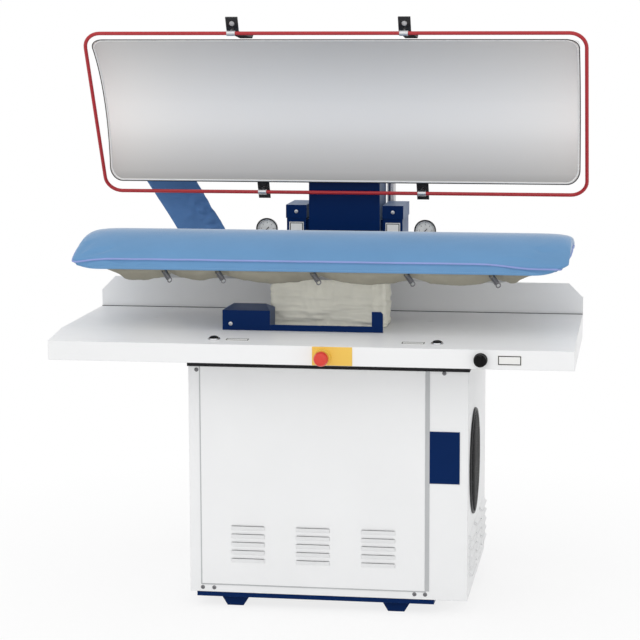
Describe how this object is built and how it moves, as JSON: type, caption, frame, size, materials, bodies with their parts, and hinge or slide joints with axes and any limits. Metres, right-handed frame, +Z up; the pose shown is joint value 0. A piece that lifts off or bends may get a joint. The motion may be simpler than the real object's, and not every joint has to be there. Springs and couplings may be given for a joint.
{
  "type": "laundry press",
  "caption": "Pneumatic laundry utility press: padded buck over a work table on a sheet cabinet, with a heated head that swings down from a rear column.",
  "frame": {"origin": "floor level under the middle of the bounding box", "axes": "+Z up, +X to the operator's right along the buck, the operator stands on the -Y side"},
  "size_m": [1.47, 0.98, 1.6573],
  "materials": {
    "white_enamel": "gloss white powder coat",
    "navy_enamel": "gloss dark blue enamel",
    "polished_steel": "polished pressing face",
    "plain_steel": "zinc plated and turned steel",
    "cast_aluminium": "as cast",
    "blue_cloth": "light blue cover cloth",
    "canvas": "unbleached canvas",
    "felt": "needle felt",
    "hose_cloth": "blue sleeve cloth",
    "black_metal": "black powder coat",
    "red_enamel": "red enamel",
    "red_plastic": "red moulded plastic",
    "yellow_plastic": "yellow moulded plastic",
    "black_plastic": "black moulded plastic",
    "bezel_chrome": "bright bezel",
    "label_white": "plain white label stock",
    "gauge_glass": "clear"
  },
  "bodies": {
    "frame": {"base_frame": "navy_enamel", "feet": "navy_enamel", "cabinet_frame": "plain_steel", "cabinet_left_side": "white_enamel", "cabinet_right_side": "white_enamel", "cabinet_back": "white_enamel", "cabinet_floor": "white_enamel", "cabinet_front_frame": "white_enamel", "front_panel": "white_enamel", "panel_screws": "plain_steel", "blank_plate": "navy_enamel", "fan_grille": "black_metal", "fan_housing": "plain_steel", "fan_motor": "black_metal", "suction_duct": "plain_steel", "table_top": "white_enamel", "table_upstand": "white_enamel", "table_beams": "plain_steel", "start_button_bezels": "bezel_chrome", "label_plates": "label_white", "estop_plate": "yellow_plastic", "estop_collar": "yellow_plastic", "selector_bezel": "black_plastic", "base_tray": "navy_enamel", "bracket_box": "navy_enamel", "pedestal": "plain_steel", "canvas_sleeve": "canvas", "buck_pan": "cast_aluminium", "buck_padding": "felt", "buck_cover": "blue_cloth", "buck_undercover": "canvas", "cover_hooks": "plain_steel", "column_frame": "navy_enamel", "column_shroud": "navy_enamel", "cheek_boxes": "navy_enamel", "cheek_lids": "navy_enamel", "pivot_shaft": "plain_steel", "shaft_collars": "plain_steel", "gauge_cases": "bezel_chrome", "gauge_dials": "label_white", "gauge_glasses": "gauge_glass", "steam_pipes": "plain_steel", "hose_sleeve": "hose_cloth", "cylinder_barrel": "cast_aluminium"},
    "head": {"head_arm": "navy_enamel", "head_plate": "polished_steel", "head_chest": "cast_aluminium", "head_cover": "white_enamel", "head_fittings": "plain_steel", "bar_brackets": "black_metal"},
    "guard_bar": {"safety_bar": "red_enamel"},
    "left_start": {"start_button_left": "black_plastic"},
    "right_start": {"start_button_right": "black_plastic"},
    "stop_head": {"estop_button": "red_plastic"},
    "selector": {"selector_knob": "black_plastic"},
    "left_needle": {"gauge_needle_left": "black_metal"},
    "right_needle": {"gauge_needle_right": "black_metal"},
    "impeller": {"fan_impeller": "plain_steel"},
    "drive_rod": {"cylinder_rod": "plain_steel", "cylinder_yoke": "plain_steel"}
  },
  "joints": [
    {"name": "head_swing", "type": "hinge", "parent": "frame", "child": "head", "pos_m": [0, 0.331, 0.96], "axis": [1, 0, 0], "range_deg": [0, 62.4], "deforming": ["hose_sleeve"]},
    {"name": "rod_stroke", "type": "slide", "parent": "frame", "child": "drive_rod", "axis": [0, 0, 1], "range_m": [0, 0.11497]},
    {"name": "guard_bar_push", "type": "slide", "parent": "head", "child": "guard_bar", "axis": [0, 0.8862, 0.4633], "range_m": [0, 0.01], "stiffness_N_per_m": 3000, "springref_m": -0.012},
    {"name": "left_start_press", "type": "slide", "parent": "frame", "child": "left_start", "axis": [0, 0.1022, -0.9948], "range_m": [0, 0.004], "stiffness_N_per_m": 400, "springref_m": -0.002},
    {"name": "right_start_press", "type": "slide", "parent": "frame", "child": "right_start", "axis": [0, 0.1022, -0.9948], "range_m": [0, 0.004], "stiffness_N_per_m": 400, "springref_m": -0.002},
    {"name": "stop_press", "type": "slide", "parent": "frame", "child": "stop_head", "axis": [0, 1, 0], "range_m": [0, 0.005], "stiffness_N_per_m": 800, "springref_m": -0.002},
    {"name": "selector_turn", "type": "hinge", "parent": "frame", "child": "selector", "pos_m": [0.473, -0.445, 0.745], "axis": [0, 1, 0], "range_deg": [-45, 45]},
    {"name": "left_needle_turn", "type": "hinge", "parent": "frame", "child": "left_needle", "pos_m": [-0.243, 0.313, 1.013], "axis": [0, 1, 0], "range_deg": [0, 270]},
    {"name": "right_needle_turn", "type": "hinge", "parent": "frame", "child": "right_needle", "pos_m": [0.243, 0.313, 1.013], "axis": [0, 1, 0], "range_deg": [0, 270]},
    {"name": "impeller_spin", "type": "hinge", "parent": "frame", "child": "impeller", "pos_m": [0.25, -0.122, 0.402], "axis": [1, 0, 0], "continuous": true}
  ],
  "couplings": [
    {"joint": "rod_stroke", "follows": "head_swing", "m_per_rad": 0.10464}
  ]
}
